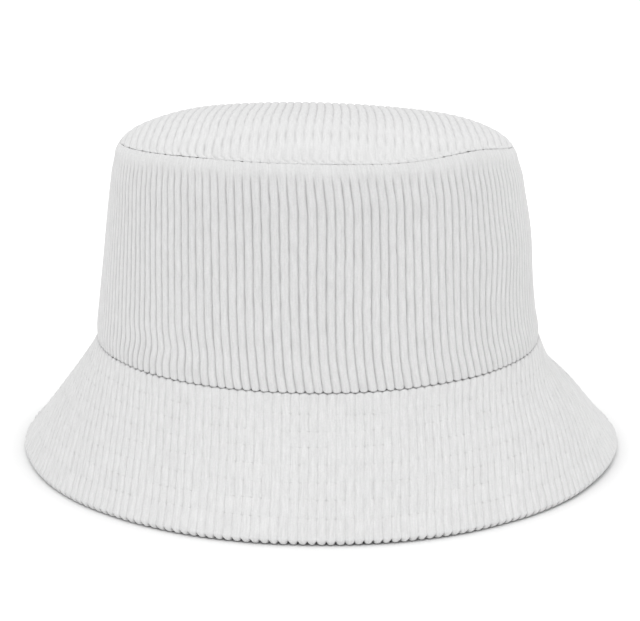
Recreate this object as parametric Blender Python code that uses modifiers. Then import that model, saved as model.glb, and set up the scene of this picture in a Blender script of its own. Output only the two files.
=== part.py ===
"""Corduroy bucket hat, modelled panel by panel the way it is sewn.

Metres, +Z up, front towards -Y. The origin is on the surface that the brim edge rests on, in the middle of
the hat. Every fabric panel is a turned (radius, height) profile of its outer side, given its thickness
inwards; the panels lie inside one another with a small gap, as the layers of a seam do.
"""

import math

import bpy

# Driving dimensions
BRIM_RADIUS = 0.1313            # brim edge, on the ground
BRIM_EDGE_DROP = 0.0012         # upright last stretch of the brim edge, which the hat stands on
CROWN_BASE_RADIUS = 0.0970      # where the brim leaves the crown
CROWN_BASE_HEIGHT = 0.0457
SHOULDER_RADIUS = 0.0883        # where the straight side band starts to round in
SHOULDER_HEIGHT = 0.1150
SHOULDER_BEND = 0.0420          # radius of that rounding
SHOULDER_END_DEG = 27.0
TIP_RADIUS = 0.0839
TIP_BASE_HEIGHT = 0.1310
TIP_DOME_HEIGHT = 0.0107
TIP_DOME_POWER = 5.0            # a high power makes a flat top with a round shoulder
TIP_SHOULDER_POWER = 0.8        # under 1, the shoulder drops more steeply to its seam

CORDUROY = 0.0012               # fabric thicknesses
INTERLINING = 0.0006
LINING = 0.0004
SWEATBAND = 0.0008
GAP = 0.0003                    # kept between neighbouring layers
THREAD_RADIUS = 0.0002
SEAM_ALLOWANCE = 0.0067         # turned-in fabric beyond a seam

TURN_STEPS = 40                 # facets round the hat, in step on every panel
FOLD_OUTER = 0.00185            # outer radius of the fold at the foot of the side band
TIP_FOLD_OUTER = CORDUROY + GAP / 2
HALF_GAP_DEG = math.degrees(math.asin(GAP / 2 / (TIP_RADIUS - 0.002)))

SWEATBAND_HEIGHT = 0.033
TOPSTITCH_ROWS = 7
TOPSTITCH_FIRST = 0.150         # share of the way from the seam to the brim edge
TOPSTITCH_PITCH = 0.114

LABEL_WIDTH = 0.024
LABEL_LENGTH = 0.032
LABEL_HINGE = (0.0, 0.0820, 0.1120)

# Places that follow from the driving dimensions
BAND_FOOT = (CROWN_BASE_RADIUS + 0.0002, CROWN_BASE_HEIGHT + 0.0016)
FOOT_FOLD_CENTRE = (BAND_FOOT[0] - FOLD_OUTER, BAND_FOOT[1])
ALLOWANCE_TOP = BAND_FOOT[1] + SEAM_ALLOWANCE
BRIM_EDGE = (BRIM_RADIUS, BRIM_EDGE_DROP)
UNDER_BRIM_EDGE_LIFT = 0.0003
WALL_TILT_DEG = math.degrees(math.atan2(BAND_FOOT[0] - SHOULDER_RADIUS, SHOULDER_HEIGHT - BAND_FOOT[1]))


def clear_scene():
    for old in list(bpy.data.objects):
        bpy.data.objects.remove(old, do_unlink=True)


def fabric(name, colour, roughness=0.95):
    """A plain cloth material."""
    material = bpy.data.materials.new(name)
    material.use_nodes = True
    shader = material.node_tree.nodes["Principled BSDF"]
    shader.inputs["Base Color"].default_value = (*colour, 1.0)
    shader.inputs["Roughness"].default_value = roughness
    shader.inputs["Metallic"].default_value = 0.0
    return material


def arc(centre, radius, start_deg, end_deg, segments):
    """Points on a circle in the (radius, height) plane, both ends included."""
    step = (end_deg - start_deg) / segments
    angles = [math.radians(start_deg + step * i) for i in range(segments + 1)]
    return [(centre[0] + radius * math.cos(a), centre[1] + radius * math.sin(a)) for a in angles]


def brim_point(share, offset=0.0):
    """A point on the brim's cone, share 0 at the crown and 1 at the edge, offset upwards from its face."""
    run = BRIM_EDGE[0] - CROWN_BASE_RADIUS
    rise = BRIM_EDGE[1] - CROWN_BASE_HEIGHT
    slant = math.hypot(run, rise)
    normal = (-rise / slant, run / slant)
    return (CROWN_BASE_RADIUS + run * share + normal[0] * offset,
            CROWN_BASE_HEIGHT + rise * share + normal[1] * offset)


def wall_radius(height):
    """Outer radius of the side band on its straight stretch."""
    return SHOULDER_RADIUS + (SHOULDER_HEIGHT - height) * math.tan(math.radians(WALL_TILT_DEG))


def shoulder_arc():
    """The side band's rounding below the top seam, from the seam down to the straight wall."""
    tilt = math.radians(WALL_TILT_DEG)
    centre = (SHOULDER_RADIUS - SHOULDER_BEND * math.cos(tilt), SHOULDER_HEIGHT - SHOULDER_BEND * math.sin(tilt))
    return arc(centre, SHOULDER_BEND, SHOULDER_END_DEG, WALL_TILT_DEG, 3)


def top_fold_centre():
    """Centre of the fold that turns the side band in at the top seam."""
    end = shoulder_arc()[0]
    turn = math.radians(SHOULDER_END_DEG)
    return end[0] - TIP_FOLD_OUTER * math.cos(turn), end[1] - TIP_FOLD_OUTER * math.sin(turn)


def band_profile():
    """Outer side of the side band: turned in and down at the top seam, turned in and up at the brim seam."""
    centre = top_fold_centre()
    inner = centre[0] - TIP_FOLD_OUTER
    profile = [(inner, centre[1] - SEAM_ALLOWANCE)]
    profile += arc(centre, TIP_FOLD_OUTER, 180.0, SHOULDER_END_DEG, 5)
    profile += shoulder_arc()[1:]
    profile += arc(FOOT_FOLD_CENTRE, FOLD_OUTER, 0.0, -180.0, 6)
    profile.append((FOOT_FOLD_CENTRE[0] - FOLD_OUTER, ALLOWANCE_TOP))
    return profile


def tip_profile():
    """Outer side of the crown tip: a flat dome whose edge is turned down inside the side band."""
    segments = 8
    profile = []
    for i in range(segments + 1):
        share = 1.0 - (1.0 - i / segments) ** 2
        rise = (1.0 - share ** TIP_DOME_POWER) ** TIP_SHOULDER_POWER
        profile.append((TIP_RADIUS * share, TIP_BASE_HEIGHT + TIP_DOME_HEIGHT * rise))
    centre = top_fold_centre()
    inner = centre[0] - TIP_FOLD_OUTER - GAP
    profile.append((inner, TIP_BASE_HEIGHT - 0.0014))
    profile.append((inner, centre[1] - SEAM_ALLOWANCE))
    return profile


def upper_brim_profile():
    """Outer side of the upper brim: inside the crown, out under the band's fold, down the cone to the edge."""
    nest = FOLD_OUTER + GAP
    profile = [(FOOT_FOLD_CENTRE[0] - nest, ALLOWANCE_TOP)]
    profile += arc(FOOT_FOLD_CENTRE, nest, 180.0, 270.0, 4)
    crest = (FOOT_FOLD_CENTRE[0] + 0.0012, FOOT_FOLD_CENTRE[1] - nest)
    profile += [crest, (crest[0] + 0.0011, crest[1] - 0.0006), (crest[0] + 0.0020, crest[1] - 0.0016)]
    profile += [brim_point(0.075), BRIM_EDGE, (BRIM_RADIUS, 0.0)]
    return profile


def interlining_profile():
    """Outer side of the stiff ring between the two brims; it stops short of both seams."""
    offset = -(CORDUROY + GAP)
    return [brim_point(0.10, offset), brim_point(0.90, offset)]


def under_brim_profile():
    """Upper side of the under brim, which the upper brim and the interlining lie on."""
    nest = FOLD_OUTER + CORDUROY + 2 * GAP
    offset = -(CORDUROY + INTERLINING + 2 * GAP)
    edge_radius = BRIM_RADIUS - (CORDUROY + INTERLINING + 2 * GAP)
    profile = [(FOOT_FOLD_CENTRE[0] - nest, ALLOWANCE_TOP)]
    profile += arc(FOOT_FOLD_CENTRE, nest, 180.0, 240.0, 3)
    lower = brim_point(0.07, offset)
    slope = (BRIM_EDGE[1] - CROWN_BASE_HEIGHT) / (BRIM_EDGE[0] - CROWN_BASE_RADIUS)
    bend = (edge_radius, lower[1] + (edge_radius - lower[0]) * slope)
    profile += [lower, bend, (edge_radius, UNDER_BRIM_EDGE_LIFT)]
    return profile


def lining_side_profile():
    """Outer side of the side lining, from the lining's tip seam down to behind the sweatband."""
    clear = CORDUROY + 0.0015
    top_radius = top_fold_centre()[0] - TIP_FOLD_OUTER - CORDUROY - 2 * GAP - 0.0003
    tuck = sweatband_radius() + LINING + 0.0006
    return [
        (top_radius, 0.1270),
        (top_radius, 0.1215),
        (wall_radius(SHOULDER_HEIGHT) - clear - 0.0016, SHOULDER_HEIGHT + 0.001),
        (wall_radius(0.100) - clear, 0.100),
        (tuck, 0.0795),
        (tuck, 0.0620),
    ]


def lining_tip_profile():
    """Outer side of the lining's round tip, hanging just below the crown tip."""
    radius = lining_side_profile()[0][0]
    base = 0.1280
    height = 0.0113
    segments = 6
    profile = []
    for i in range(segments + 1):
        share = 1.0 - (1.0 - i / segments) ** 2
        profile.append((radius * share, base + 0.0012 + height * (1.0 - share ** 4)))
    profile.append((radius, base))
    return profile


def sweatband_radius():
    """Outer radius of the sweatband, just inside the under brim's turned-up edge."""
    return FOOT_FOLD_CENTRE[0] - FOLD_OUTER - 2 * CORDUROY - 3 * GAP


def sweatband_profile():
    foot = BAND_FOOT[1] - 0.0007
    return [(sweatband_radius(), foot + SWEATBAND_HEIGHT), (sweatband_radius(), foot)]


def turned_panel(name, profile, thickness, material, start_deg=0.0, sweep_deg=360.0):
    """A cloth panel: its outer side turned about Z, thickened inwards."""
    mesh = bpy.data.meshes.new(name)
    points = [(radius, 0.0, height) for radius, height in profile]
    mesh.from_pydata(points, [(i, i + 1) for i in range(len(points) - 1)], [])
    panel = bpy.data.objects.new(name, mesh)
    panel.rotation_euler.z = math.radians(start_deg)
    mesh.materials.append(material)
    steps = round(TURN_STEPS * sweep_deg / 360.0)
    turn = panel.modifiers.new("Turn", "SCREW")
    turn.axis = "Z"
    turn.angle = math.radians(sweep_deg)
    turn.steps = steps
    turn.render_steps = steps
    turn.use_merge_vertices = True
    turn.merge_threshold = 0.00001
    cloth = panel.modifiers.new("Cloth thickness", "SOLIDIFY")
    cloth.thickness = thickness
    cloth.offset = -1.0
    cloth.use_even_offset = True
    hat.objects.link(panel)
    return panel


def half_panels(name, profile, thickness, material):
    """The front and back halves of a panel, which meet at the hat's left and right."""
    sweep = 180.0 - 2.0 * HALF_GAP_DEG
    turned_panel(f"{name}_front", profile, thickness, material, 180.0 + HALF_GAP_DEG, sweep)
    turned_panel(f"{name}_back", profile, thickness, material, HALF_GAP_DEG, sweep)


def thread_ring(name, radius, height):
    """A run of stitching all the way round the hat."""
    bpy.ops.mesh.primitive_torus_add(
        major_segments=TURN_STEPS, minor_segments=4, major_radius=radius, minor_radius=THREAD_RADIUS,
        location=(0.0, 0.0, height))
    ring = bpy.context.object
    ring.name = name
    ring.data.name = name
    ring.data.materials.append(thread_cotton)
    ring.data.shade_smooth()
    for collection in list(ring.users_collection):
        collection.objects.unlink(ring)
    hat.objects.link(ring)


def thread_run(name, points):
    """A straight or curved run of stitching with two ends."""
    curve = bpy.data.curves.new(name, "CURVE")
    curve.dimensions = "3D"
    curve.bevel_depth = THREAD_RADIUS
    curve.bevel_resolution = 2
    curve.use_fill_caps = True
    spline = curve.splines.new("POLY")
    spline.points.add(len(points) - 1)
    for spline_point, place in zip(spline.points, points):
        spline_point.co = (*place, 1.0)
    curve.materials.append(thread_cotton)
    hat.objects.link(bpy.data.objects.new(name, curve))


def make_crown():
    turned_panel("crown_tip", tip_profile(), CORDUROY, corduroy)
    half_panels("side_band", band_profile(), CORDUROY, corduroy)
    centre = top_fold_centre()
    thread_ring("top_seam_thread", centre[0] + 0.0007, centre[1] + 0.0020)
    for side, sign in (("left", -1.0), ("right", 1.0)):
        heights = (SHOULDER_HEIGHT, 0.100, 0.085)
        inset = CORDUROY + GAP + THREAD_RADIUS + 0.00005
        thread_run(f"side_seam_thread_{side}", [(sign * (wall_radius(z) - inset), 0.0, z) for z in heights])


def make_brim():
    half_panels("brim_upper", upper_brim_profile(), CORDUROY, corduroy)
    turned_panel("brim_interlining", interlining_profile(), INTERLINING, buckram)
    half_panels("brim_under", under_brim_profile(), CORDUROY, corduroy)
    thread_ring("brim_seam_thread", BAND_FOOT[0], FOOT_FOLD_CENTRE[1] - 0.00155)
    thread_ring("brim_edge_thread", BRIM_RADIUS - CORDUROY - GAP - INTERLINING / 2, 0.0009)
    for row in range(TOPSTITCH_ROWS):
        share = TOPSTITCH_FIRST + TOPSTITCH_PITCH * row
        radius, height = brim_point(share, GAP + THREAD_RADIUS)
        thread_ring(f"brim_topstitch_{row + 1}", radius, height)


def make_inside():
    turned_panel("lining_tip", lining_tip_profile(), LINING, lining_cotton)
    half_panels("lining_side", lining_side_profile(), LINING, lining_cotton)
    turned_panel("sweatband", sweatband_profile(), SWEATBAND, sweatband_twill)
    thread_ring("lining_seam_thread", lining_side_profile()[0][0] - LINING / 2, 0.1275)
    thread_ring("sweatband_thread", sweatband_radius() - SWEATBAND - GAP - THREAD_RADIUS, BAND_FOOT[1] + 0.002)


def make_label():
    """A blank tape label hanging from its sewn upper edge on the lining, at the back."""
    bpy.ops.mesh.primitive_cube_add(size=1.0)
    label = bpy.context.object
    label.name = "care_label"
    label.data.name = "care_label"
    for vertex in label.data.vertices:
        vertex.co.x *= LABEL_WIDTH
        vertex.co.y *= LINING
        vertex.co.z = (vertex.co.z - 0.5) * LABEL_LENGTH
    label.location = LABEL_HINGE
    label.data.materials.append(label_tape)
    for collection in list(label.users_collection):
        collection.objects.unlink(label)
    hat.objects.link(label)
    half = LABEL_WIDTH / 2 - 0.001
    height = LABEL_HINGE[2] + GAP + THREAD_RADIUS + 0.0002
    thread_run("label_thread", [(-half, LABEL_HINGE[1], height), (half, LABEL_HINGE[1], height)])


clear_scene()
hat = bpy.data.collections.new("bucket_hat")
bpy.context.scene.collection.children.link(hat)

corduroy = fabric("corduroy", (0.78, 0.78, 0.77))
buckram = fabric("interlining", (0.86, 0.85, 0.82))
lining_cotton = fabric("lining", (0.80, 0.79, 0.76), 0.8)
sweatband_twill = fabric("sweatband", (0.78, 0.77, 0.74), 0.85)
thread_cotton = fabric("thread", (0.82, 0.82, 0.80), 0.7)
label_tape = fabric("label", (0.88, 0.88, 0.87), 0.6)

make_crown()
make_brim()
make_inside()
make_label()
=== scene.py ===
"""Looks of the corduroy bucket hat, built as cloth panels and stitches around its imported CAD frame.

Every panel starts from a path of (radius, height) points on its face side. The corduroy panels are cut on
the straight grain, as the real ones are: their wales stay parallel in the flat cut, so on the tapered crown
and the sloping brim they drift away from the hat's own lines and run off into the side seams.
"""

import math
from itertools import chain

import bpy
import numpy as np
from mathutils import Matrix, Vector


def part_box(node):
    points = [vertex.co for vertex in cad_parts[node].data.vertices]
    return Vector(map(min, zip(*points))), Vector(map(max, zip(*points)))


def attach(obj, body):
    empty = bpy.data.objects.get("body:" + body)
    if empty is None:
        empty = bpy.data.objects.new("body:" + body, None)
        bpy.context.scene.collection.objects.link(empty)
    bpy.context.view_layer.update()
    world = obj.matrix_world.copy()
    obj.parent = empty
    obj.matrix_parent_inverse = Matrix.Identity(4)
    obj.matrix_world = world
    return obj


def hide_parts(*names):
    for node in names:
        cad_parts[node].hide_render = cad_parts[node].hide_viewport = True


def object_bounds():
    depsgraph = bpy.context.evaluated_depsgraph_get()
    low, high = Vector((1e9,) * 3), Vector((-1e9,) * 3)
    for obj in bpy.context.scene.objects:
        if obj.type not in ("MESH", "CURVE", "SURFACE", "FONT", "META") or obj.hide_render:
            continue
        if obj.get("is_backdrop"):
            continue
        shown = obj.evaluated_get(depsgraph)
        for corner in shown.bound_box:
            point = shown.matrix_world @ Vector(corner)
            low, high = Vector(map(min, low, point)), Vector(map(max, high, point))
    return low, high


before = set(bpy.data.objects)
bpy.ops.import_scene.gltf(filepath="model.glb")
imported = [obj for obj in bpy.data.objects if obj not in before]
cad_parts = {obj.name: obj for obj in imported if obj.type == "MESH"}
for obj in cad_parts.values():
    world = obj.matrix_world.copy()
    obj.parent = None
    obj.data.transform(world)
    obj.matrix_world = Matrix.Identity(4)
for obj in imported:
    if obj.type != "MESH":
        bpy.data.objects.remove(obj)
cad_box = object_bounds()

MM = 0.001

# Places read from the CAD frame
BRIM_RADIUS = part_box("brim_upper_front")[1].x
FOOT_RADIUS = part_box("side_band_front")[1].x
FOOT_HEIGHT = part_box("side_band_front")[0].z
TIP_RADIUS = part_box("crown_tip")[1].x
TIP_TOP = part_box("crown_tip")[1].z
SWEATBAND_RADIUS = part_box("sweatband")[1].x
SWEATBAND_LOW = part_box("sweatband")[0].z
SWEATBAND_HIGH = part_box("sweatband")[1].z
LINING_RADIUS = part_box("lining_side_front")[1].x
LINING_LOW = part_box("lining_side_front")[0].z
LINING_TIP_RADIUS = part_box("lining_tip")[1].x
LINING_TIP_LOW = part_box("lining_tip")[0].z
LINING_TIP_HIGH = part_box("lining_tip")[1].z
LABEL_LOW, LABEL_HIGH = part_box("care_label")
LABEL_THREAD_LOW, LABEL_THREAD_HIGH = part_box("label_thread")

# Corduroy
WALE = 3.46 * MM                # from one groove to the next
WALE_DEPTH = 0.95 * MM
CLOTH = 1.25 * MM               # from a wale's crest to the back of the cloth
GROOVE_NARROW = 3.6             # the higher, the narrower the grooves between the full wales of the crown
BRIM_NARROW = 2.3               # and of the brim, where pressing and topstitching flatten the pile
GRAIN_COLUMNS = (0.0, 0.045, 0.10, 0.20, 0.375, 0.625, 0.80, 0.90, 0.955)   # mesh columns across one wale
GROOVE_WANDER = 0.055 * MM      # grooves stray this much in long bends
GROOVE_JITTER = 0.03 * MM       # and this much from row to row
GROOVE_CLOSING = 0.12           # and their depth varies by this share
TUFT = 0.07                     # unevenness of the pile, as a share of its height
SIDE_SHADE = 4.0                # painted shade: grooves deeper than the usual are painted as much darker as this times their excess
LINING_CLOTH = 0.35 * MM
SWEATBAND_CLOTH = 0.75 * MM
INTERLINING_CLOTH = 0.5 * MM
LAYER_GAP = 0.3 * MM
SEAM_GAP = 0.06 * MM            # between two cloths drawn together by a seam
SEAM_HALF_GAP = math.radians(0.1)
SEAM_DIP = 0.55 * MM            # how far a side seam draws the cloth in,
SEAM_REACH = 1.3 * MM           # and how far from the seam

# Crown
FOOT_FOLD = 1.85 * MM           # fold at the foot of the side band
TOP_FOLD = 1.35 * MM            # fold at the side band's top seam
SHOULDER_RADIUS = 88.3 * MM
SHOULDER_HEIGHT = 115.0 * MM
SHOULDER_BEND = 42.0 * MM
TOP_PRESSED = 0.80              # share of the wales' depth that is pressed out along the top seam
LEFT_DEPTH = 0.14               # and by which they are deeper at the left of the band
RIGHT_DEPTH = 0.08              # and at its right
TOP_PUFF = 0.55 * MM            # the seam allowances swell the band under the top seam
FOOT_PUFF = 0.35 * MM           # and over its foot,
TOP_THINNER = 0.75 * MM         # and the cloth is this much thinner in its folds there
FOOT_THINNER = 0.3 * MM
BAND_SEAM_ROW = 9               # the band path's row at the top seam
BAND_ROWS_BELOW_FOOT = 14       # and its number of rows from its foot to its end
SHOULDER_END_DEG = 27.0
SEAM_LINE_DEG = 26.8            # where the shoulder runs under the crown tip's edge
SEAM_FOLD = 0.3 * MM
FOOT_CORNER = 0.6 * MM
TIP_BASE = 129.2 * MM
TIP_POWER = 5.5                 # a high power makes a flat top with a round shoulder
TIP_SHOULDER_POWER = 0.95       # under 1, the shoulder drops more steeply to its seam
TIP_CREST = 2.4 * MM            # the soft top stands up along its middle, most a little forward of it
TIP_DENT = 0.6 * MM             # and sinks in a little at its right
EDGE_DEPTH = 0.35               # share of the wales' depth left where the tip's edge is sewn down
EDGE_WAVER = 0.13 * MM          # how unevenly that edge is turned in
TIP_TURN = 0.05                 # the crown tip's wales curve to the left towards the front
TIP_EDGE = (                    # its edge into the seam: mm inwards from its radius and below its base
    (-0.05, 0.20), (-0.04, 0.40), (0.06, 0.58), (0.30, 0.68), (1.20, 0.70), (1.90, 0.90), (2.40, 1.25),
    (2.60, 1.90), (2.67, 5.8),
)
TIP_ROWS = 118                  # mesh rows of its outer side
TIP_INNER_ROWS = 40
ALLOWANCE = 6.7 * MM            # turned-in cloth beyond a seam

DRIFT_HEIGHT = 47 * MM          # the band's wales lean to the right below this height over the foot,
DRIFT_MIDDLE = 2.1 * MM         # by this much at the middle of the front
DRIFT_RIGHT = 4.0 * MM          # and by so much more at its right
DRIFT_LEFT = 3.8 * MM           # and less at its left
TOP_LEAN_HEIGHT = 17 * MM       # and to the left in this height under the top seam,
TOP_LEAN_LEFT = 0.7 * MM        # by this much at the left of the front
TOP_LEAN_RIGHT = 2.0 * MM       # and at its right

# Brim
BRIM_TOP_RADIUS = 97.0 * MM
BRIM_TOP_HEIGHT = 45.7 * MM
BRIM_EDGE_HEIGHT = 1.2 * MM
BRIM_FIRST = 0.10               # share of the slope where the brim comes out straight from its seam
EDGE_ROLL = 1.5 * MM
RIM_SHARE = 0.865               # the seam allowances inside the edge make the rim thicker beyond this
RIM_PUFF = 0.45 * MM
BRIM_DEPTH = 0.46               # share of the wales' depth left on the pressed brim,
BRIM_SIDE_DEPTH = 0.16          # so much more at its sides
RIM_DEPTH = 0.90                # and so much more on the rim, where they curl under
RIM_NARROW = 1.3                # and where their grooves are narrower by this much
UNDER_START = 0.935             # the under brim's flat part, as shares of the slope
UNDER_END = 0.035
UNDER_CUT_ROW = 6               # the under brim path's row at the start of that part
UNDER_SINK = 0.3 * MM           # how far the topstitching sinks into it
BRIM_CREST = (                  # its bend out of the seam: mm outwards and downwards
    (1.20, 0.0), (1.90, 0.10), (2.45, 0.42), (3.00, 1.02), (3.50, 1.72),
)
UNDER_ROLL = (                  # the under brim's edge: mm inwards from the brim's radius, mm above ground
    (2.35, 2.7), (2.75, 2.1), (3.05, 1.45), (3.45, 0.98), (4.0, 0.85), (4.5, 1.15),
)
STITCH_ROWS = 7
STITCH_FIRST = 0.150
STITCH_PITCH = 0.114
STITCH_LENGTH = 3.1 * MM
STITCH_SINK = 0.08 * MM         # how far a row presses down the pile, and as much again at each hole
STITCH_REACH = 0.62 * MM        # and how far to each side of the row
CROWN_LIFT = 1.5 * MM           # the brim stands a little steeper than its cut cone
EDGE_LIFT = 0.15 * MM           # the edge's own unevenness keeps most of it just off the ground
EDGE_UNEVEN = 0.10 * MM
EDGE_WAVES = ((-18.0, 19.0, 1.3), (168.0, 28.0, 1.0))   # and lifts it most here: angle, reach round, height

# The crown as it stands
SWELL = 0.22 * MM               # broad unevenness of the cloth
CREASES = 0.12 * MM             # and finer
TIP_WAVES = 0.25 * MM
FOOT_SHIFT = 0.6 * MM           # the brim sits this much to the right
CROWN_SHIFT = -1.9 * MM         # and the crown leans this much from it
CROWN_SLOPE = 0.0125            # and its top drops to the right by this slope

# Studio
CORDUROY_COLOUR = (0.70, 0.70, 0.70)
GROOVE_SHADE = 0.60             # painted shade: colour share left at the bottom of a groove
CAMERA_PLACE = (0.0, -570.6 * MM, 196.5 * MM)
CAMERA_PITCH_DEG = 13.92
CAMERA_LENS = 74.36
WORLD_LEVELS = (0.36, 0.54, 1.13)   # light from below, from eye level and from above
KEY_PLACE = (-0.02, -0.92, 1.12)
KEY_AIM = (0.0, 0.0, 0.06)
KEY_SIZE = 0.9
KEY_POWER = 6.3
FLOOR_CORNERS = ((-30.0, -0.32, 0.0), (30.0, -0.32, 0.0), (30.0, 60.0, 0.0), (-30.0, 60.0, 0.0))
FLOOR_COLOUR = (0.86, 0.86, 0.86, 1.0)
# Painted shadow: the floor glows less near the brim's edge, so the fade of its contact shadow is painted
SHADOW_START = 0.131            # the contact shadow fades from here, by the brim's edge,
SHADOW_END = 0.143              # to here
NEAR_GLOW = 0.13                # painted light: the floor's own glow there
FAR_GLOW = 0.25                 # and as much more of it at this distance
FAR_GLOW_END = 0.45


def polar(centre, radius, degrees):
    """The (radius, height) point at a distance and in a direction from centre."""
    turn = math.radians(degrees)
    return centre[0] + radius * math.cos(turn), centre[1] + radius * math.sin(turn)


# Places that follow from those above
FOOT_FOLD_CENTRE = (FOOT_RADIUS - FOOT_FOLD, FOOT_HEIGHT + FOOT_FOLD)
WALL_TILT = math.atan2(FOOT_RADIUS - SHOULDER_RADIUS, SHOULDER_HEIGHT - FOOT_FOLD_CENTRE[1])
SHOULDER_CENTRE = polar((SHOULDER_RADIUS, SHOULDER_HEIGHT), -SHOULDER_BEND, math.degrees(WALL_TILT))
SHOULDER_END = polar(SHOULDER_CENTRE, SHOULDER_BEND, SHOULDER_END_DEG)
TOP_FOLD_CENTRE = polar(SHOULDER_END, -TOP_FOLD, SHOULDER_END_DEG)
BRIM_SLANT = math.hypot(BRIM_RADIUS - BRIM_TOP_RADIUS, BRIM_TOP_HEIGHT - BRIM_EDGE_HEIGHT)
BRIM_TAPER = (BRIM_RADIUS - BRIM_TOP_RADIUS) / BRIM_SLANT
BRIM_NORMAL = ((BRIM_TOP_HEIGHT - BRIM_EDGE_HEIGHT) / BRIM_SLANT, BRIM_TAPER)
UNDER_DEPTH = -(2 * CLOTH + 0.6 * MM + 2 * LAYER_GAP)   # from the upper brim's crests to the under brim's


# ---------------------------------------------------------------- small helpers

def smoothstep(low, high, value):
    share = np.clip((value - low) / (high - low), 0.0, 1.0)
    return share * share * (3.0 - 2.0 * share)


def bump(centre, width, value):
    """A smooth hill of height 1 at centre."""
    return np.exp(-((value - centre) / width) ** 2)


def ripple(seed, wavelength, waves=16):
    """A seeded, smooth, random function of a place in the hat, about -1 to 1."""
    rng = np.random.default_rng(seed)
    direction = rng.normal(size=(waves, 3))
    direction /= np.linalg.norm(direction, axis=1)[:, None]
    number = 2.0 * math.pi / (wavelength * rng.uniform(0.7, 1.6, waves))
    phase = rng.uniform(0.0, 2.0 * math.pi, waves)
    waves_per_metre = (direction * number[:, None]).T

    def value(points):
        return np.sin(points @ waves_per_metre + phase).sum(-1) / math.sqrt(2.0 * waves)

    return value


crown_ripple = ripple(11, 62 * MM)
crease_ripple = ripple(12, 24 * MM)
edge_ripple = ripple(13, 120 * MM)

# Where the soft cloth stands out or sinks in: angle from the right-hand side, height, reach round,
# reach up, amount outwards and amount upwards, in degrees and mm
SOFT_SPOTS = (
    (0.0, 90.0, 50.0, 18.0, 1.5, 0.0),
    (0.0, 126.0, 50.0, 6.0, -0.8, 0.0),
    (16.0, 33.0, 62.0, 9.0, -4.6, 0.0),
    (0.0, 18.0, 55.0, 14.0, -1.2, 0.0),
    (180.0, 36.0, 40.0, 14.0, -0.6, 0.0),
    (-90.0, 130.0, 45.0, 9.0, 0.0, 0.3),
    (-42.0, 130.0, 20.0, 9.0, 0.0, 3.4),
    (-125.0, 130.0, 20.0, 9.0, 0.0, 0.6),
)

# How the wales of the front bend: angle from the front's middle, height, reach round, reach up and
# the amount to the right
WALE_BENDS = (
    (53.0, 89.0, 9.0, 14.0, 2.2),
    (-38.0, 56.5, 14.0, 6.0, 1.3),
    (-50.0, 56.5, 8.0, 5.0, 1.0),
)


def sector(at, reach_round, angle):
    """A hill of height 1 round the hat, at an angle in degrees."""
    return bump(0.0, reach_round, (angle - at + 180.0) % 360.0 - 180.0)


def spot(at, level, reach_round, reach_up, angle, height):
    """A round spot on the cloth: 1 mm at an angle in degrees and a level in mm, fading over its reaches."""
    return sector(at, reach_round, angle) * bump(level * MM, reach_up * MM, height) * MM


def settle(points):
    """The hat as it stands: soft hollows in the cloth, a slight lean, and an edge that isn't quite flat."""
    placed = points.copy()
    radius = np.hypot(points[:, 0], points[:, 1])
    outward = points[:, :2] / np.maximum(radius, 1e-6)[:, None]
    height = points[:, 2]
    swell = crown_ripple(points) * SWELL + crease_ripple(points) * CREASES
    angle = np.degrees(np.arctan2(points[:, 1], points[:, 0]))
    lift = 0.0 * height
    for at, level, reach_round, reach_up, outwards, upwards in SOFT_SPOTS:
        share = spot(at, level, reach_round, reach_up, angle, height)
        swell = swell + share * outwards
        lift = lift + share * upwards
    steady = smoothstep(0.0, 60 * MM, radius)
    placed[:, :2] += outward * (swell * steady)[:, None]
    dome = smoothstep(118 * MM, 134 * MM, height) * (1.0 - smoothstep(66 * MM, 84 * MM, radius))
    placed[:, 2] += dome * (crown_ripple(points[:, [1, 0, 2]]) * TIP_WAVES)
    crest = bump(0.0, 55 * MM, points[:, 0]) * bump(-30 * MM, 55 * MM, points[:, 1])
    dent = bump(42 * MM, 26 * MM, points[:, 0])
    placed[:, 2] += (TIP_CREST * crest - TIP_DENT * dent) * smoothstep(116 * MM, 131 * MM, height)
    placed[:, 2] += lift * smoothstep(66 * MM, 82 * MM, radius)
    edge = smoothstep(100 * MM, 131 * MM, radius) * (1.0 - smoothstep(20 * MM, 40 * MM, height))
    placed[:, 2] += edge * (EDGE_LIFT + EDGE_UNEVEN * edge_ripple(points))
    for at, reach_round, upwards in EDGE_WAVES:
        placed[:, 2] += edge * sector(at, reach_round, angle) * upwards * MM
    placed[:, 2] += CROWN_LIFT * smoothstep(0.0, 36 * MM, height)
    crown = smoothstep(20 * MM, 60 * MM, height)
    placed[:, 0] += FOOT_SHIFT + CROWN_SHIFT * crown
    placed[:, 2] -= CROWN_SLOPE * points[:, 0] * smoothstep(90 * MM, 131 * MM, height)
    return placed


def line(start, end, rows):
    """Points from start to end, without the start."""
    shares = np.linspace(0.0, 1.0, rows + 1)[1:]
    return [(start[0] + (end[0] - start[0]) * t, start[1] + (end[1] - start[1]) * t) for t in shares]


def arc(centre, radius, start_deg, end_deg, rows):
    """Points on a circle, with both ends."""
    return [polar(centre, radius, degrees) for degrees in np.linspace(start_deg, end_deg, rows + 1)]


def path_frame(path):
    """A path's points, their unit normals on the face side, and the distance run at each."""
    points = np.array(path, float)
    steps = np.diff(points, axis=0)
    lengths = np.linalg.norm(steps, axis=1)
    unit = steps / lengths[:, None]
    tangent = np.vstack([unit[:1], unit[:-1] + unit[1:], unit[-1:]])
    tangent /= np.linalg.norm(tangent, axis=1)[:, None]
    normal = np.column_stack([-tangent[:, 1], tangent[:, 0]])
    return points, normal, np.concatenate([[0.0], np.cumsum(lengths)])


def moved_out(points, normal, offset):
    """Radius and height of a path's points moved out from its face."""
    return points[:, 0, None] + normal[:, 0, None] * offset, points[:, 1, None] + normal[:, 1, None] * offset


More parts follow.
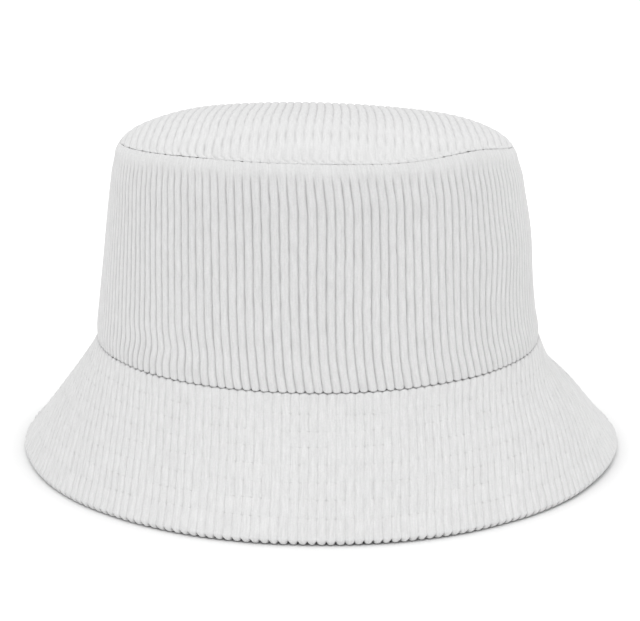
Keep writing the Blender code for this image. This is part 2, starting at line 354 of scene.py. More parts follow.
def turned(radius, height, angle):
    """Points at a radius and height, turned about Z."""
    return np.stack([radius * np.cos(angle), radius * np.sin(angle), height + 0.0 * angle], -1)


# ---------------------------------------------------------------- meshes

def without_repeats(corners):
    """A face's corners with merged neighbours taken out, or None if no face is left."""
    kept = [c for i, c in enumerate(corners) if c != corners[i - 1]]
    return kept if len(set(kept)) > 2 else None


def grid_faces(ids, flipped=False):
    """The quads of a grid of vertex numbers; quads that have collapsed become triangles or vanish."""
    quads = np.stack([ids[:-1, :-1], ids[1:, :-1], ids[1:, 1:], ids[:-1, 1:]], -1).reshape(-1, 4)
    if flipped:
        quads = quads[:, ::-1]
    whole = (quads[:, 0] != quads[:, 1]) & (quads[:, 1] != quads[:, 2])
    whole &= (quads[:, 2] != quads[:, 3]) & (quads[:, 3] != quads[:, 0])
    faces = quads[whole].tolist()
    for corners in quads[~whole].tolist():
        kept = without_repeats(corners)
        if kept:
            faces.append(kept)
    return faces


def rim_faces(outer, inner, stride, first):
    """The edge strip between an outer and an inner row; each inner step spans several outer steps."""
    faces = []
    for step in range(len(inner) - 1):
        span = outer[step * stride:(step + 1) * stride + 1].tolist()
        corners = span + [int(inner[step + 1]), int(inner[step])]
        if not first:
            corners.reverse()
        kept = without_repeats(corners)
        if kept:
            faces.append(kept)
    return faces


def shell_faces(outer, inner, stride, closed_round):
    """All faces of a cloth shell from its outer and inner grids of vertex numbers."""
    faces = grid_faces(outer) + grid_faces(inner, flipped=True)
    faces += rim_faces(outer[0], inner[0], stride, True)
    faces += rim_faces(outer[-1], inner[-1], stride, False)
    if not closed_round:
        faces += rim_faces(outer[:, 0], inner[:, 0], 1, False)
        faces += rim_faces(outer[:, -1], inner[:, -1], 1, True)
    return faces


def make_mesh(name, points, faces, attributes=None):
    """A smooth-shaded object from all points; points that no face uses are dropped."""
    used = np.zeros(len(points), bool)
    used[list(chain.from_iterable(faces))] = True
    number = np.cumsum(used) - 1
    faces = [[int(number[c]) for c in face] for face in faces]
    mesh = bpy.data.meshes.new(name)
    mesh.from_pydata(points[used].tolist(), [], faces)
    mesh.polygons.foreach_set("use_smooth", np.ones(len(mesh.polygons), bool))
    for key, values in (attributes or {}).items():
        if values.ndim == 1:
            layer = mesh.attributes.new(key, "FLOAT", "POINT")
            layer.data.foreach_set("value", values[used].astype(np.float32))
        else:
            layer = mesh.attributes.new(key, "FLOAT_VECTOR", "POINT")
            layer.data.foreach_set("vector", values[used].astype(np.float32).ravel())
    mesh.update()
    piece = bpy.data.objects.new(name, mesh)
    bpy.context.scene.collection.objects.link(piece)
    return piece


def place(piece, node, material, body="hat"):
    """Gives a finished piece its material and its CAD body, and hides the CAD node it stands for."""
    piece.data.materials.clear()
    piece.data.materials.append(material)
    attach(piece, body)
    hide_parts(node)


# ---------------------------------------------------------------- corduroy

def wale_height(phase, narrow):
    """Height of the pile across the wales: 0 on a crest, -1 in a groove, grooves at whole numbers."""
    inward = 1.0 - 2.0 * np.abs(phase - np.round(phase))
    return -(0.80 * inward ** narrow + 0.20 * inward ** 2)


def grain_columns(half_width):
    """Cross positions of the mesh columns over the wales of a width, denser at the grooves."""
    wales = math.ceil(half_width / WALE) + 1
    columns = [m + c for m in range(-wales, wales) for c in GRAIN_COLUMNS] + [float(wales)]
    return np.array(columns) * WALE


def meander(rng, rows, columns, amount, reach=3):
    """Seeded noise for every groove that changes smoothly over a number of rows, of the given spread."""
    weights = np.hanning(2 * reach + 3)[1:-1]
    weights /= np.linalg.norm(weights)
    noise = rng.normal(size=(rows + 2 * reach, columns))
    return amount * sum(w * noise[i:i + rows] for i, w in enumerate(weights))


def corduroy_half(name, path, taper, cut_radius, cut_row, back, seed, *, wander, drift, depth, puff, pressed,
                  narrow):
    """Half a turned panel of corduroy on the straight grain, front or back.

    taper is the sine of the cone's half angle, negative when the path runs towards the cone's tip, and
    cut_radius the radius of the flat cut at path row cut_row. wander is the length and the amount of the
    wales' random bends. drift, depth and puff take (distance along the path, angle round) and give how far
    the wales stray sideways, the share of their depth and the cloth's swelling; pressed takes the distance
    along the path and gives how much thinner a pressed fold is, and narrow how narrow the grooves are there.
    """
    points, normal, run = path_frame(path)
    spread = cut_radius + (run - run[cut_row]) * (1.0 if taper > 0 else -1.0)
    slope = abs(taper)
    limit = spread * math.sin(slope * (math.pi / 2 - SEAM_HALF_GAP))
    bends = along_and_round(seed + 40, *wander)
    columns = grain_columns(limit.max() + 1.0 * MM)
    stride = len(GRAIN_COLUMNS)
    rng = np.random.default_rng(seed)

    def grid(across, stray):
        angle = np.arcsin(np.clip(across / spread[:, None], -0.999, 0.999)) / slope
        shift = bends(run[:, None], angle) + drift(run[:, None], angle) + stray
        wanted = across + shift
        held = np.clip(wanted, -limit[:, None], limit[:, None])
        first = (wanted <= -limit[:, None]).sum(1) - 1
        last = wanted.shape[1] - (wanted >= limit[:, None]).sum(1)
        column = np.clip(np.arange(wanted.shape[1])[None, :], first[:, None], last[:, None])
        ids = np.arange(len(run))[:, None] * wanted.shape[1] + column
        return held, (held - shift) / WALE, np.arcsin(held / spread[:, None]) / slope, ids

    def lay(angle, offset):
        middle = math.pi / 2 if back else -math.pi / 2
        return turned(*moved_out(points, normal, offset), angle + middle).reshape(-1, 3)

    grooves = len(columns) // stride + 2
    stray = meander(rng, len(run), grooves, GROOVE_WANDER, 6)
    stray = stray + meander(rng, len(run), grooves, GROOVE_JITTER, 1)
    closing = 1.0 + meander(rng, len(run), grooves, GROOVE_CLOSING, 4)
    stray, closing = (np.repeat(values, stride, axis=1)[:, stride // 2:stride // 2 + len(columns)]
                      for values in (stray, closing))
    held, phase, angle, outer_ids = grid(columns[None, :], stray)
    pile = wale_height(phase, narrow(run[:, None]))
    share = depth(run[:, None], angle)
    fuzz = closing * (1.0 + TUFT * rng.normal(size=pile.shape))
    seam = bump(0.0, SEAM_REACH, limit[:, None] - np.abs(held))
    offset = pile * share * fuzz * WALE_DEPTH + puff(run[:, None], angle) - SEAM_DIP * seam
    outer = lay(angle, offset)
    _, _, inner_angle, inner_ids = grid(columns[None, ::stride], stray[:, ::stride])
    inner = lay(inner_angle, puff(run[:, None], inner_angle) - CLOTH + pressed(run[:, None]))
    # Painted shade: grooves deeper than the usual, at the band's sides and on the brim's rim, are painted
    # darker
    deep_groove_shade = 1.0 + SIDE_SHADE * np.clip(share - 1.0, 0.0, 1.0)
    groove = np.concatenate([(-pile * share * deep_groove_shade).ravel(), np.zeros(len(inner))])
    cloth_place = np.zeros((len(outer) + len(inner), 3))
    cloth_place[:len(outer), 0] = (phase * WALE).ravel()
    cloth_place[:len(outer), 1] = np.broadcast_to(run[:, None], phase.shape).ravel()
    cloth_place[:, 2] = seed * 0.1
    faces = shell_faces(outer_ids, inner_ids + len(outer), stride, False)
    return make_mesh(name, settle(np.vstack([outer, inner])), faces, {"groove": groove, "cloth": cloth_place})


def constant(value):
    """A function of a place on a panel that is the same everywhere."""
    return lambda *place_at: value


def corduroy_halves(panel, material, seed, *cut, **cloth):
    """Makes a panel's front and back half, each with its own seed, and gives them one by one."""
    for half, back in (("front", False), ("back", True)):
        piece = corduroy_half(f"{panel}_{half}_cloth", *cut, back, seed + back, **cloth)
        place(piece, f"{panel}_{half}", material)
        yield piece


def along_and_round(seed, length, amount):
    """A smooth sideways wander of the wales as a function of distance along the panel and angle round."""
    noise = ripple(seed, length)

    def value(run, angle):
        run, angle = np.broadcast_arrays(run, angle)
        places = np.stack([run * 0.8, angle * 90 * MM, 0.0 * run], -1)
        return noise(places) * amount

    return value


def band_path():
    """Face of the side band, from its turned-in top edge over the shoulder and down to its turned-in foot."""
    inner = TOP_FOLD_CENTRE[0] - TOP_FOLD
    fold = polar(SHOULDER_CENTRE, SHOULDER_BEND - SEAM_FOLD, SEAM_LINE_DEG)
    path = [(inner, TOP_FOLD_CENTRE[1] - ALLOWANCE * 0.7)]
    path += line(path[0], (inner, fold[1] - 1.5 * MM), 2)
    path += [(inner + 0.25 * MM, fold[1] - 0.7 * MM), (inner + 0.8 * MM, fold[1] - 0.2 * MM)]
    path += arc(fold, SEAM_FOLD, 110.0, SEAM_LINE_DEG, 4)
    path += arc(SHOULDER_CENTRE, SHOULDER_BEND, SEAM_LINE_DEG, math.degrees(WALL_TILT), 17)[1:]
    corner = (FOOT_RADIUS - FOOT_CORNER, FOOT_HEIGHT + FOOT_CORNER)
    path += line(path[-1], (FOOT_RADIUS, corner[1]), 71)
    path += arc(corner, FOOT_CORNER, 0.0, -90.0, 5)[1:]
    path += line(path[-1], (FOOT_FOLD_CENTRE[0], FOOT_HEIGHT), 1)
    path += arc(FOOT_FOLD_CENTRE, FOOT_FOLD, -90.0, -180.0, 5)[1:]
    path += line(path[-1], (path[-1][0], FOOT_FOLD_CENTRE[1] + ALLOWANCE * 0.7), 2)
    return path


def wale_drift(above_foot, below_seam, angle):
    """How far the side band's wales stray to the right of the grain at the foot, the bends and the top."""
    near = np.clip(1.0 - above_foot / DRIFT_HEIGHT, 0.0, 1.0) ** 2.5
    right = DRIFT_RIGHT * smoothstep(5.0, 60.0, angle)
    shift = (DRIFT_MIDDLE + right - DRIFT_LEFT * smoothstep(25.0, 50.0, -angle)) * near
    height = FOOT_HEIGHT + above_foot
    for at, level, reach_round, reach_up, amount in WALE_BENDS:
        shift = shift + spot(at, level, reach_round, reach_up, angle, height) * amount
    lean = TOP_LEAN_LEFT + (TOP_LEAN_RIGHT - TOP_LEAN_LEFT) * smoothstep(-30.0, 15.0, angle)
    return shift - lean * np.clip(1.0 - below_seam / TOP_LEAN_HEIGHT, 0.0, 1.0) ** 1.3


def make_band():
    path = band_path()
    run = path_frame(path)[2]
    foot_row = len(path) - BAND_ROWS_BELOW_FOOT
    seam_at, foot_at = run[BAND_SEAM_ROW], run[foot_row]
    taper = math.sin(WALL_TILT)

    def drift(run_at, angle):
        return wale_drift(foot_at - run_at, run_at - seam_at, np.degrees(angle))

    def depth(run_at, angle):
        ridge = 1.0 - TOP_PRESSED * (1.0 - smoothstep(2.0 * MM, 7.5 * MM, run_at - seam_at))
        side = np.degrees(angle)
        left = LEFT_DEPTH * smoothstep(30.0, 60.0, -side)
        return ridge * (1.0 + left + RIGHT_DEPTH * smoothstep(30.0, 60.0, side))

    def puff(run_at, angle):
        allowance = TOP_PUFF * bump(seam_at + 3.0 * MM, 2.6 * MM, run_at)
        foot = FOOT_PUFF * bump(foot_at - 5.0 * MM, 5.0 * MM, run_at)
        return allowance + foot + 0.0 * angle

    def pressed(run_at):
        top = TOP_THINNER * bump(seam_at - 0.6 * MM, 1.6 * MM, run_at)
        return top + FOOT_THINNER * bump(foot_at + 1.4 * MM, 1.4 * MM, run_at)

    for piece in corduroy_halves("side_band", corduroy, 21, path, taper, FOOT_RADIUS / taper, foot_row,
                                 wander=(46 * MM, 0.32 * MM), drift=drift, depth=depth, puff=puff,
                                 pressed=pressed, narrow=constant(GROOVE_NARROW)):
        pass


def brim_point(share, offset=0.0):
    """A point on the brim's cone: share 0 at the crown, 1 at the edge; offset outwards from its crests."""
    return (BRIM_TOP_RADIUS + (BRIM_RADIUS - BRIM_TOP_RADIUS) * share + BRIM_NORMAL[0] * offset,
            BRIM_TOP_HEIGHT + (BRIM_EDGE_HEIGHT - BRIM_TOP_HEIGHT) * share + BRIM_NORMAL[1] * offset)


def stitch_share(row):
    return STITCH_FIRST + STITCH_PITCH * row


def slope_rows(spacing):
    """Rows down the brim's slope as shares, with extra rows across every line of stitching."""
    shares = list(np.arange(BRIM_FIRST, 0.955, spacing / BRIM_SLANT))
    for row in range(STITCH_ROWS):
        for offset in (-0.7, -0.3, 0.1, 0.5, 0.9):
            shares.append(stitch_share(row) + offset * MM / BRIM_SLANT)
    shares = sorted(shares)
    kept = [shares[0]]
    for share in shares[1:]:
        if share - kept[-1] > 0.33 * MM / BRIM_SLANT:
            kept.append(share)
    return kept


def upper_brim_path():
    nest = FOOT_FOLD + SEAM_GAP
    centre = FOOT_FOLD_CENTRE
    path = [(centre[0] - nest, centre[1] + ALLOWANCE * 0.7)]
    path += line(path[0], (centre[0] - nest, centre[1] + 0.6 * MM), 2)
    path += arc(centre, nest, 180.0, 270.0, 7)
    path += [(centre[0] + out * MM, centre[1] - nest - down * MM) for out, down in BRIM_CREST]
    path += [brim_point(share) for share in slope_rows(1.05 * MM)]
    roll = (BRIM_RADIUS - EDGE_ROLL - 0.05 * MM, EDGE_ROLL + 0.25 * MM)
    lean = math.degrees(math.atan2(BRIM_NORMAL[1], BRIM_NORMAL[0]))
    path += arc(roll, EDGE_ROLL, lean, -150.0, 12)
    return path


def row_wobble(row, angle):
    """A hand-guided row of stitching strays a little from its circle."""
    return (0.22 * np.sin(3.0 * angle + 2.1 * row) + 0.16 * np.sin(8.0 * angle + 1.3 * row)) * MM


def dimples(run_at, angle, stitch_runs):
    """How far the pile is pressed down along the rows of topstitching."""
    sunk = 0.0 * run_at * angle
    for row, at in enumerate(stitch_runs):
        pitch = stitch_angle(row)
        hole = np.abs(np.cos(math.pi * (angle + math.pi / 2) / pitch)) ** 6
        sunk = sunk + bump(at + row_wobble(row, angle), STITCH_REACH, run_at) * STITCH_SINK * (1.0 + hole)
    return sunk


def stitch_angle(row):
    """Angle of one stitch of a topstitched row, so that a whole number of them goes round."""
    count = round(2.0 * math.pi * brim_point(stitch_share(row))[0] / STITCH_LENGTH / 4) * 4
    return 2.0 * math.pi / count


def brim_lean(share, angle):
    """How far the brim's wales lean to the left of the grain on their way down, most at the right."""
    slope = 0.05 + 0.13 * smoothstep(0.0, 60.0, angle) - 0.09 * smoothstep(10.0, 50.0, -angle)
    down = np.clip(share, 0.0, 1.0)
    return slope * (down - 0.35 * down ** 2) * BRIM_SLANT


def make_upper_brim():
    path = upper_brim_path()
    points, _, run = path_frame(path)
    first = brim_point(BRIM_FIRST)[0]
    cut_row = int(np.argmin(np.abs(points[:, 0] - first) + (points[:, 1] > BRIM_TOP_HEIGHT)))
    start = run[cut_row] - BRIM_FIRST * BRIM_SLANT
    stitch_runs = [start + stitch_share(row) * BRIM_SLANT for row in range(STITCH_ROWS)]

    def down(run_at):
        """The share of the slope at a distance along the path."""
        return (run_at - start) / BRIM_SLANT

    def drift(run_at, angle):
        return -brim_lean(down(run_at), np.degrees(angle))

    def depth(run_at, angle):
        side = BRIM_SIDE_DEPTH * smoothstep(15.0, 60.0, np.abs(np.degrees(angle)))
        return BRIM_DEPTH + side + RIM_DEPTH * smoothstep(0.980, 1.01, down(run_at))

    def puff(run_at, angle):
        rim = RIM_PUFF * smoothstep(RIM_SHARE - 0.02, RIM_SHARE + 0.05, down(run_at))
        rim = rim * (1.0 - smoothstep(0.955, 1.02, down(run_at)))
        return rim - dimples(run_at, angle, stitch_runs)

    def narrow(run_at):
        return BRIM_NARROW + RIM_NARROW * smoothstep(0.97, 1.0, down(run_at))

    for piece in corduroy_halves("brim_upper", shaded_flat_corduroy, 31, path, BRIM_TAPER, first / BRIM_TAPER,
                                 cut_row, wander=(40 * MM, 0.22 * MM), drift=drift, depth=depth, puff=puff,
                                 pressed=constant(0.0), narrow=narrow):
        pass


def under_brim_path():
    """Face of the under brim, from the edge seam up its hollow side and up inside the crown."""
    nest = FOOT_FOLD + 2 * CLOTH + 2 * LAYER_GAP
    path = [(BRIM_RADIUS - inwards * MM, height * MM) for inwards, height in UNDER_ROLL]
    path += [brim_point(share, UNDER_DEPTH) for share in np.linspace(UNDER_START, UNDER_END, 45)]
    path += arc(FOOT_FOLD_CENTRE, nest, 240.0, 180.0, 5)
    path += line(path[-1], (path[-1][0], FOOT_FOLD_CENTRE[1] + ALLOWANCE * 0.7), 3)
    return path


def make_under_brim():
    path = under_brim_path()
    points, _, run = path_frame(path)

    def puff(run_at, angle):
        sunk = 0.0 * run_at * angle
        for row in range(STITCH_ROWS):
            at = run[UNDER_CUT_ROW] + (UNDER_START - stitch_share(row)) * BRIM_SLANT
            sunk = sunk + bump(at, 0.8 * MM, run_at) * UNDER_SINK
        return -sunk

    for piece in corduroy_halves("brim_under", shaded_flat_corduroy, 33, path, -BRIM_TAPER,
                                 points[UNDER_CUT_ROW, 0] / BRIM_TAPER, UNDER_CUT_ROW,
                                 wander=(40 * MM, 0.40 * MM), drift=constant(0.0), depth=constant(0.70),
                                 puff=puff, pressed=constant(0.0), narrow=constant(BRIM_NARROW)):
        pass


def tip_dome(radius):
    """Height and outward slope of the crown tip's dome at a radius."""
    rise = TIP_TOP - TIP_BASE
    share = np.clip(radius / TIP_RADIUS, 0.0, 1.0)
    level = np.maximum(1.0 - share ** TIP_POWER, 1e-4)
    slope = -TIP_POWER * share ** (TIP_POWER - 1) * TIP_SHOULDER_POWER * level ** (TIP_SHOULDER_POWER - 1)
    return TIP_BASE + rise * level ** TIP_SHOULDER_POWER, slope * rise / TIP_RADIUS


def tip_point(across, along, offset):
    """A place on the crown tip, offset outwards from the dome."""
    radius = np.hypot(across, along)
    height, slope = tip_dome(radius)
    scale = 1.0 / np.sqrt(1.0 + slope ** 2)
    outward = -slope * scale * offset / np.maximum(radius, 1e-6)
    return np.stack([across * (1.0 + outward), along * (1.0 + outward), height + scale * offset], -1)


def tip_columns():
    """Cross positions of the tip's mesh columns, as many as give every inner column its outer one."""
    columns = grain_columns(TIP_RADIUS)
    columns = columns[np.abs(columns) < TIP_RADIUS - 0.25 * MM]
    columns = np.concatenate([[-TIP_RADIUS], columns, [TIP_RADIUS]])
    spare = -(len(columns) - 1) % len(GRAIN_COLUMNS)
    return np.concatenate([columns[:-1], np.linspace(columns[-2], columns[-1], spare + 2)[1:]])


def tip_grid(cross, rows):
    """Places across and along the tip's circle, as rows of columns that all meet its edge."""
    sweep = np.sin(np.linspace(-math.pi / 2, math.pi / 2, rows))
    along = sweep[:, None] * np.sqrt(np.maximum(TIP_RADIUS ** 2 - cross ** 2, 0.0))[None, :]
    return np.broadcast_to(cross, along.shape), along


def tip_pile(rng, across, along):
    """Height of the pile on the crown tip, whose wales bend a little."""
    stride = len(GRAIN_COLUMNS)
    rows, columns = across.shape
    front = np.clip(-along / TIP_RADIUS, 0.0, 1.0)
    bends = ripple(42, 70 * MM)(np.stack([across, along, 0.0 * along], -1)) * 0.12 * MM
    stray = np.repeat(meander(rng, rows, columns // stride + 1, GROOVE_JITTER), stride, axis=1)[:, :columns]
    wander = bends - TIP_TURN * TIP_RADIUS * front ** 2 / 2 + stray
    rim = smoothstep(0.985, 1.0, np.hypot(across, along) / TIP_RADIUS)
    return wale_height((across - wander * (1.0 - rim)) / WALE, GROOVE_NARROW)


def grid_numbers(rows, columns, first):
    """Vertex numbers of a tip grid, whose outermost columns are each one point."""
    ids = np.arange(rows * columns).reshape(rows, columns) + first
    ids[:, 0] = ids[0, 0]
    ids[:, -1] = ids[0, -1]
    return ids


def edge_loop(grid):
    """A grid's values round its rim: along the front from left to right, and back along the rear."""
    return np.concatenate([grid[0, :-1], grid[-1, :0:-1]])


def tip_edge(start, pile, thickness):
    """The places of the rings that take the tip's edge from its rim, start, into the seam."""
    waver = EDGE_WAVER * (ripple(43, 7 * MM)(start) + ripple(44, 30 * MM)(start))
    angle = np.arctan2(start[:, 1], start[:, 0])
    offset = pile * EDGE_DEPTH * WALE_DEPTH - thickness
    path, normal, _ = path_frame([(TIP_RADIUS, TIP_BASE)] + [
        (TIP_RADIUS - x * MM, TIP_BASE - z * MM) for x, z in TIP_EDGE])
    return [turned(radius + out * offset, height + up * offset + waver, angle)
            for (radius, height), (out, up) in zip(path[1:], normal[1:])]


def make_tip():
    """The crown tip: wales run front to back, dive over the shoulder and into the seam."""
    rng = np.random.default_rng(41)
    stride = len(GRAIN_COLUMNS)
    columns = tip_columns()
    across, along = tip_grid(columns, TIP_ROWS)
    radius = np.hypot(across, along)
    pile = tip_pile(rng, across, along)
    share = 0.88 - 0.38 * smoothstep(TIP_RADIUS - 2.0 * MM, TIP_RADIUS, radius)
    fuzz = 1.0 + 0.08 * rng.normal(size=pile.shape)
    edge_puff = 0.25 * MM * bump(TIP_RADIUS - 5.0 * MM, 4.0 * MM, radius)
    outer = tip_point(across, along, pile * share * fuzz * WALE_DEPTH + edge_puff).reshape(-1, 3)
    inner = tip_point(*tip_grid(columns[::stride], TIP_INNER_ROWS), -CLOTH).reshape(-1, 3)
    outer_ids = grid_numbers(TIP_ROWS, len(columns), 0)
    inner_ids = grid_numbers(TIP_INNER_ROWS, len(columns[::stride]), len(outer))

    points = [outer, inner]
    # the grooves' depth, which the material turns into painted shade at their bottoms
    groove = [(-pile * share).ravel(), np.zeros(len(inner))]
    cloth_place = [np.stack([across.ravel(), along.ravel(), 0.4 + 0.0 * across.ravel()], -1), inner * 0.0]
    number = len(outer) + len(inner)
    edges = []
    for ids, loop_pile, thickness in ((outer_ids, edge_loop(pile), 0.0), (inner_ids, None, 0.6 * CLOTH)):
        start = edge_loop(ids)
        loop_pile = np.zeros(len(start)) if loop_pile is None else loop_pile
        rings = [start]
        for ring in tip_edge(np.vstack(points)[start], loop_pile, thickness):
            points.append(ring)
            # painted shade in the grooves where the edge runs into the seam
            groove.append(-loop_pile * EDGE_DEPTH)
            cloth_place.append(ring)
            rings.append(np.arange(len(ring)) + number)
            number += len(ring)
        rings = np.array(rings)
        edges.append(np.column_stack([rings, rings[:, 0]]))
    faces = grid_faces(outer_ids, flipped=True) + grid_faces(inner_ids)
    faces += grid_faces(edges[0]) + grid_faces(edges[1], flipped=True)
    faces += rim_faces(edges[0][-1], edges[1][-1], stride, False)
    piece = make_mesh("crown_tip_cloth", settle(np.vstack(points)), faces,
                      {"groove": np.concatenate(groove), "cloth": np.vstack(cloth_place)})
    place(piece, "crown_tip", corduroy)


# ---------------------------------------------------------------- plain turned cloth

def turned_cloth(name, path, thickness, segments, swell, half=None):
    """A plain cloth panel turned about Z: all the way round, or its front or back half."""
    points, normal, _ = path_frame(path)
    if half is None:
        angle = np.linspace(0.0, 2.0 * math.pi, segments + 1)
    else:
        angle = np.linspace(SEAM_HALF_GAP, math.pi - SEAM_HALF_GAP, segments // 2 + 1)
        angle = angle + (math.pi if half == "front" else 0.0)

    def lay(offset):
        radius, height = moved_out(points, normal, offset)
        return turned(np.maximum(radius, 0.0), height, angle)

    folds = swell(points[:, 0, None], points[:, 1, None], angle[None, :])
    outer, inner = lay(folds), lay(folds - thickness)
    ids = np.arange(outer[:, :, 0].size).reshape(outer.shape[:2])
    if half is None:
        ids[:, -1] = ids[:, 0]
    if points[0, 0] < 1e-6:
        ids[0, :] = ids[0, 0]
    inner_ids = ids + outer[:, :, 0].size
    faces = shell_faces(ids, inner_ids, 1, half is None)
    all_points = np.vstack([outer.reshape(-1, 3), inner.reshape(-1, 3)])
    return make_mesh(name, settle(all_points), faces)


def lining_side_path():
    tip_radius = LINING_TIP_RADIUS
    knots = [(tip_radius, LINING_TIP_LOW - 1.0 * MM), (tip_radius, 121.5 * MM), (84.0 * MM, 116.0 * MM),
             (87.57 * MM, 100.0 * MM), (LINING_RADIUS, SWEATBAND_HIGH), (LINING_RADIUS, LINING_LOW)]
    path = [knots[0]]
    for start, end, rows in zip(knots, knots[1:], (6, 7, 12, 14, 8)):
        path += line(start, end, rows)
    return path


def make_lining():
    gathers = ripple(51, 22 * MM)
    wide_folds = ripple(52, 55 * MM)

    def side_folds(radius, height, angle):
        loose = smoothstep(SWEATBAND_HIGH, SWEATBAND_HIGH + 12 * MM, height)
        loose = loose * (1.0 - smoothstep(112 * MM, 122 * MM, height))
        places = turned(radius, height * 0.35, angle)
        return (gathers(places) * 0.35 + wide_folds(places) * 0.5 - 0.5) * loose * MM

    def tip_folds(radius, height, angle):
        loose = 1.0 - smoothstep(60 * MM, 78 * MM, radius)
        return (wide_folds(turned(radius, height, angle)) * 0.6 - 0.6) * MM * loose

    for half in ("front", "back"):
        piece = turned_cloth(
            f"lining_side_{half}_cloth", lining_side_path(), LINING_CLOTH, 360, side_folds, half)
        place(piece, f"lining_side_{half}", lining)
    rise = LINING_TIP_HIGH - LINING_TIP_LOW - 1.2 * MM
    path = []
    for share in 1.0 - (1.0 - np.linspace(0.0, 1.0, 26)) ** 2:
        path.append((LINING_TIP_RADIUS * share, LINING_TIP_LOW + 1.2 * MM + rise * (1.0 - share ** 4)))
    path.append((LINING_TIP_RADIUS, LINING_TIP_LOW))
    piece = turned_cloth("lining_tip_cloth", path, LINING_CLOTH, 240, tip_folds)
    place(piece, "lining_tip", lining)


def make_sweatband():
    """Woven tape with softly rounded selvedges, caught down at its lower edge."""
    path = [(SWEATBAND_RADIUS - 0.25 * MM, SWEATBAND_HIGH)]
    path += line((SWEATBAND_RADIUS, SWEATBAND_HIGH - 0.8 * MM), (SWEATBAND_RADIUS, SWEATBAND_LOW), 26)
    wave = ripple(53, 60 * MM)

    def swell(radius, height, angle):
        loose = smoothstep(SWEATBAND_LOW + 6 * MM, SWEATBAND_HIGH, height)
        return (wave(turned(radius, 0.2 * height, angle)) - 0.9) * 0.3 * MM * loose

    piece = turned_cloth("sweatband_cloth", path, SWEATBAND_CLOTH, 360, swell)
    place(piece, "sweatband", sweatband)


def make_interlining():
    path = [brim_point(0.10 + 0.80 * i / 20, -(CLOTH + LAYER_GAP)) for i in range(21)]
    piece = turned_cloth("brim_interlining_cloth", path, INTERLINING_CLOTH, 240, constant(0.0))
    place(piece, "brim_interlining", interlining)


def make_label():
    """A blank satin tape folded into a loop; its two raw ends are caught in the stitching at the top."""
    width = LABEL_HIGH.x - LABEL_LOW.x
    middle = (LABEL_LOW.y + LABEL_HIGH.y) / 2
    length = LABEL_HIGH.z - LABEL_LOW.z
    tape = 0.12 * MM
    half = 0.5 * MM
    path = []
    for share in np.linspace(0.0, 1.0, 13)[:-1]:
        parting = half * math.sin(math.pi * share * 0.5) * 0.7
        path.append((middle + tape + parting, LABEL_HIGH.z - share * length))
    bottom = path[-1]
    back = [(2 * middle - y, z) for y, z in reversed(path)]
    path += [(bottom[0] - 0.15 * MM, bottom[1] - 1.6 * MM), (middle, bottom[1] - 2.3 * MM),
             (2 * middle - bottom[0] + 0.15 * MM, bottom[1] - 1.6 * MM)] + back
    points, normal, _ = path_frame(path)
    across = np.linspace(-width / 2, width / 2, 13)
    curl = 0.5 * MM * (2.0 * across / width) ** 2

    def lay(offset):
        drop = (LABEL_HIGH.z - points[:, 1]) / length
        depth, height = moved_out(points, normal, offset)
        depth = depth - curl[None, :] * drop[:, None]
        return np.stack(np.broadcast_arrays(across, depth, height), -1)

    outer, inner = lay(tape / 2), lay(-tape / 2)
    ids = np.arange(outer[:, :, 0].size).reshape(outer.shape[:2])
    faces = shell_faces(ids, ids + ids.size, 1, False)
    piece = make_mesh("care_label_tape", np.vstack([outer.reshape(-1, 3), inner.reshape(-1, 3)]), faces)
    place(piece, "care_label", label_satin, body="label")


# ---------------------------------------------------------------- stitching

def stitch_mesh(name, starts, ends, normals, lift, sink, radius, sides=6, rings=7):
    """Separate stitches from starts to ends: each rises out of the cloth, runs flat and dives back in."""
    share = np.linspace(0.0, 1.0, rings)
    profile = np.sin(math.pi * share) ** 0.55
    centre = starts[:, None] + (ends - starts)[:, None] * share[None, :, None]
    centre = centre + normals[:, None] * (lift * profile - sink * (1.0 - profile))[None, :, None]
    tangent = np.gradient(centre, axis=1)
    tangent /= np.linalg.norm(tangent, axis=2)[:, :, None]
    side = np.cross(tangent, np.broadcast_to(normals[:, None], tangent.shape))
    side /= np.linalg.norm(side, axis=2)[:, :, None]
    up = np.cross(side, tangent)
    thick = radius * (0.75 + 0.25 * profile)
    turn = np.linspace(0.0, 2.0 * math.pi, sides, endpoint=False)
    turn = turn[None, None, :, None]
    ring = side[:, :, None] * np.cos(turn) + up[:, :, None] * np.sin(turn)
    points = centre[:, :, None] + ring * thick[None, :, None, None]
    count = len(starts)
    ids = np.arange(count * rings * sides).reshape(count, rings, sides)
    a, b = ids[:, :-1], ids[:, 1:]
    quads = np.stack([a, np.roll(a, -1, 2), np.roll(b, -1, 2), b], -1).reshape(-1, 4).tolist()
    caps = ids[:, 0, ::-1].tolist() + ids[:, -1].tolist()
    return make_mesh(name, points.reshape(-1, 3), quads + caps)


def topstitch_place(row, angles, offset):
    """Places on the brim along a row of topstitching, offset from the wales' crests."""
    shift = row_wobble(row, (angles + 1.5 * math.pi) % (2.0 * math.pi) - math.pi) / BRIM_SLANT
    return settle(turned(*brim_point(stitch_share(row) + shift, offset), angles))


def make_topstitching():
    """The rows of stitches on the brim, each seen on its upper and its under side."""
    for row in range(STITCH_ROWS):
        pitch = stitch_angle(row)
        angles = np.arange(round(2.0 * math.pi / pitch)) * pitch
        starts, ends, normals = [], [], []
        for offset, facing in ((-STITCH_SINK - 0.30 * MM, 1.0), (UNDER_DEPTH + 0.55 * MM, -1.0)):
            spots = [topstitch_place(row, angles + shift * pitch, offset) for shift in (0.05, 0.95)]
            starts.append(spots[0])
            ends.append(spots[1])
            middle = angles + 0.5 * pitch
            normals.append(facing * turned(*BRIM_NORMAL, middle))
        piece = stitch_mesh(f"brim_topstitch_{row + 1}_stitches", np.vstack(starts), np.vstack(ends),
                            np.vstack(normals), 0.12 * MM, 0.35 * MM, 0.14 * MM)
        place(piece, f"brim_topstitch_{row + 1}", thread_material)


